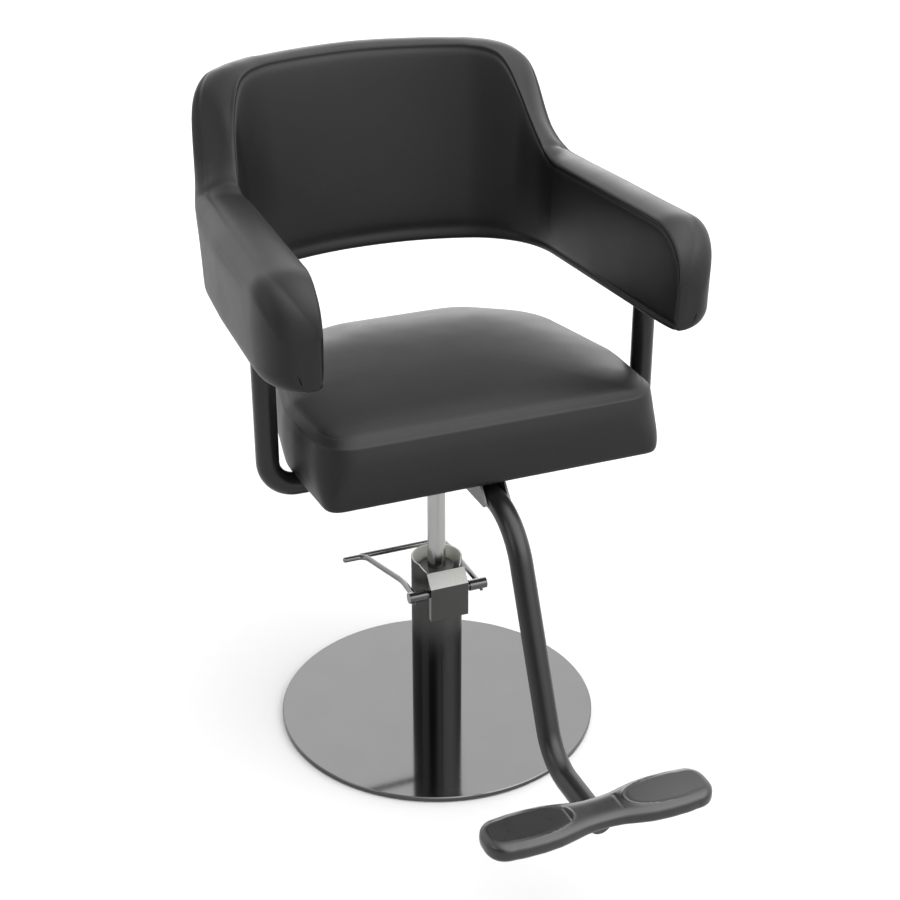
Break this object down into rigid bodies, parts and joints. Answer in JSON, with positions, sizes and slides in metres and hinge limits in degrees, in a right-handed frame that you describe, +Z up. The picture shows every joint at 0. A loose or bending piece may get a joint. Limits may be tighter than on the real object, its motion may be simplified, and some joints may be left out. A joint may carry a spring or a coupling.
{
  "type": "hydraulic styling chair",
  "caption": "Salon styling chair with padded seat, curved wrap-round back and arms, foot-pumped hydraulic lift, swivel, disc base and hanging footrest.",
  "frame": {"origin": "on the floor, at the middle of the round floor plate and on the axis of the lift", "axes": "+Z up along the lift; the sitter looks along -Y, where the footrest is; +X is at the sitter's left"},
  "size_m": [0.6472, 0.9484, 1.0085],
  "materials": {
    "rubber_black": "matte sheet rubber",
    "chrome_plate": "polished chrome plate",
    "steel_zinc": "zinc plated steel",
    "steel_bare": "machined steel, lightly oiled",
    "rod_satin": "ground and satin chromed rod",
    "cast_grey": "cast and machined iron",
    "bronze": "oil bronze bearing metal",
    "seal_black": "moulded seal rubber",
    "frame_black": "satin black powder coat",
    "cover_grey": "satin dark plated sheet",
    "lever_dark": "dark plated rod",
    "nylon_ivory": "moulded nylon",
    "plug_black": "moulded plastic",
    "birch_ply": "raw plywood",
    "dust_cloth": "spunbonded cloth",
    "vinyl_black": "grained upholstery vinyl with a soft sheen",
    "footrest_rubber": "satin moulded rubber"
  },
  "bodies": {
    "stand": {"floor_pad": "rubber_black", "floor_plate": "chrome_plate", "base_screws": "steel_zinc", "pump_foot": "cast_grey", "pressure_cylinder": "steel_bare", "chrome_column": "chrome_plate", "cylinder_gland": "steel_bare", "guide_bush": "bronze", "rod_seal": "seal_black", "rod_wiper": "seal_black", "valve_block": "cast_grey", "plunger_spring": "steel_bare", "bracket_cheeks": "cover_grey", "bracket_cover": "cover_grey"},
    "plunger": {"pump_plunger": "steel_bare"},
    "lever": {"lever_shaft": "steel_bare", "lever_collars": "lever_dark", "collar_screws": "steel_zinc", "lever_finger": "cast_grey", "foot_lever": "lever_dark"},
    "lift": {"piston_rod": "rod_satin", "piston_head": "steel_bare", "piston_seal": "seal_black", "thrust_washer": "bronze", "retaining_ring": "steel_zinc"},
    "seat": {"swivel_hub": "frame_black", "hub_bushes": "nylon_ivory", "seat_plate": "frame_black", "seat_plate_bolts": "steel_zinc", "tee_nuts": "steel_zinc", "dust_cover": "dust_cloth", "seat_board": "birch_ply", "seat_cushion": "vinyl_black", "arm_frame": "frame_black", "saddle_clamps": "steel_zinc", "clamp_screws": "steel_zinc", "wrap_hoop": "steel_bare", "hoop_bolts": "steel_zinc", "back_board": "birch_ply", "back_board_screws": "steel_zinc", "back_and_arms": "vinyl_black", "footrest_bracket": "steel_zinc", "footrest_bracket_bolts": "steel_zinc", "footrest_tube": "frame_black", "tube_plug_rear": "plug_black", "tube_plug_front": "plug_black", "footrest_pad": "footrest_rubber", "footrest_pad_screws": "steel_zinc"}
  },
  "joints": [
    {"name": "lift_slide", "type": "slide", "parent": "stand", "child": "lift", "axis": [0, 0, 1], "range_m": [-0.14, 0]},
    {"name": "seat_swivel", "type": "hinge", "parent": "lift", "child": "seat", "pos_m": [0, 0, 0.474], "axis": [0, 0, 1], "continuous": true},
    {"name": "pump_lever", "type": "hinge", "parent": "stand", "child": "lever", "pos_m": [0, -0.044, 0.243], "axis": [1, 0, 0], "range_deg": [-25, 0], "stiffness_Nm_per_rad": 4, "springref_deg": 17.19},
    {"name": "plunger_slide", "type": "slide", "parent": "stand", "child": "plunger", "axis": [0, 0, 1], "range_m": [-0.005, 0], "deforming": ["plunger_spring"]}
  ],
  "couplings": [
    {"joint": "plunger_slide", "follows": "pump_lever", "m_per_rad": 0.01145}
  ]
}
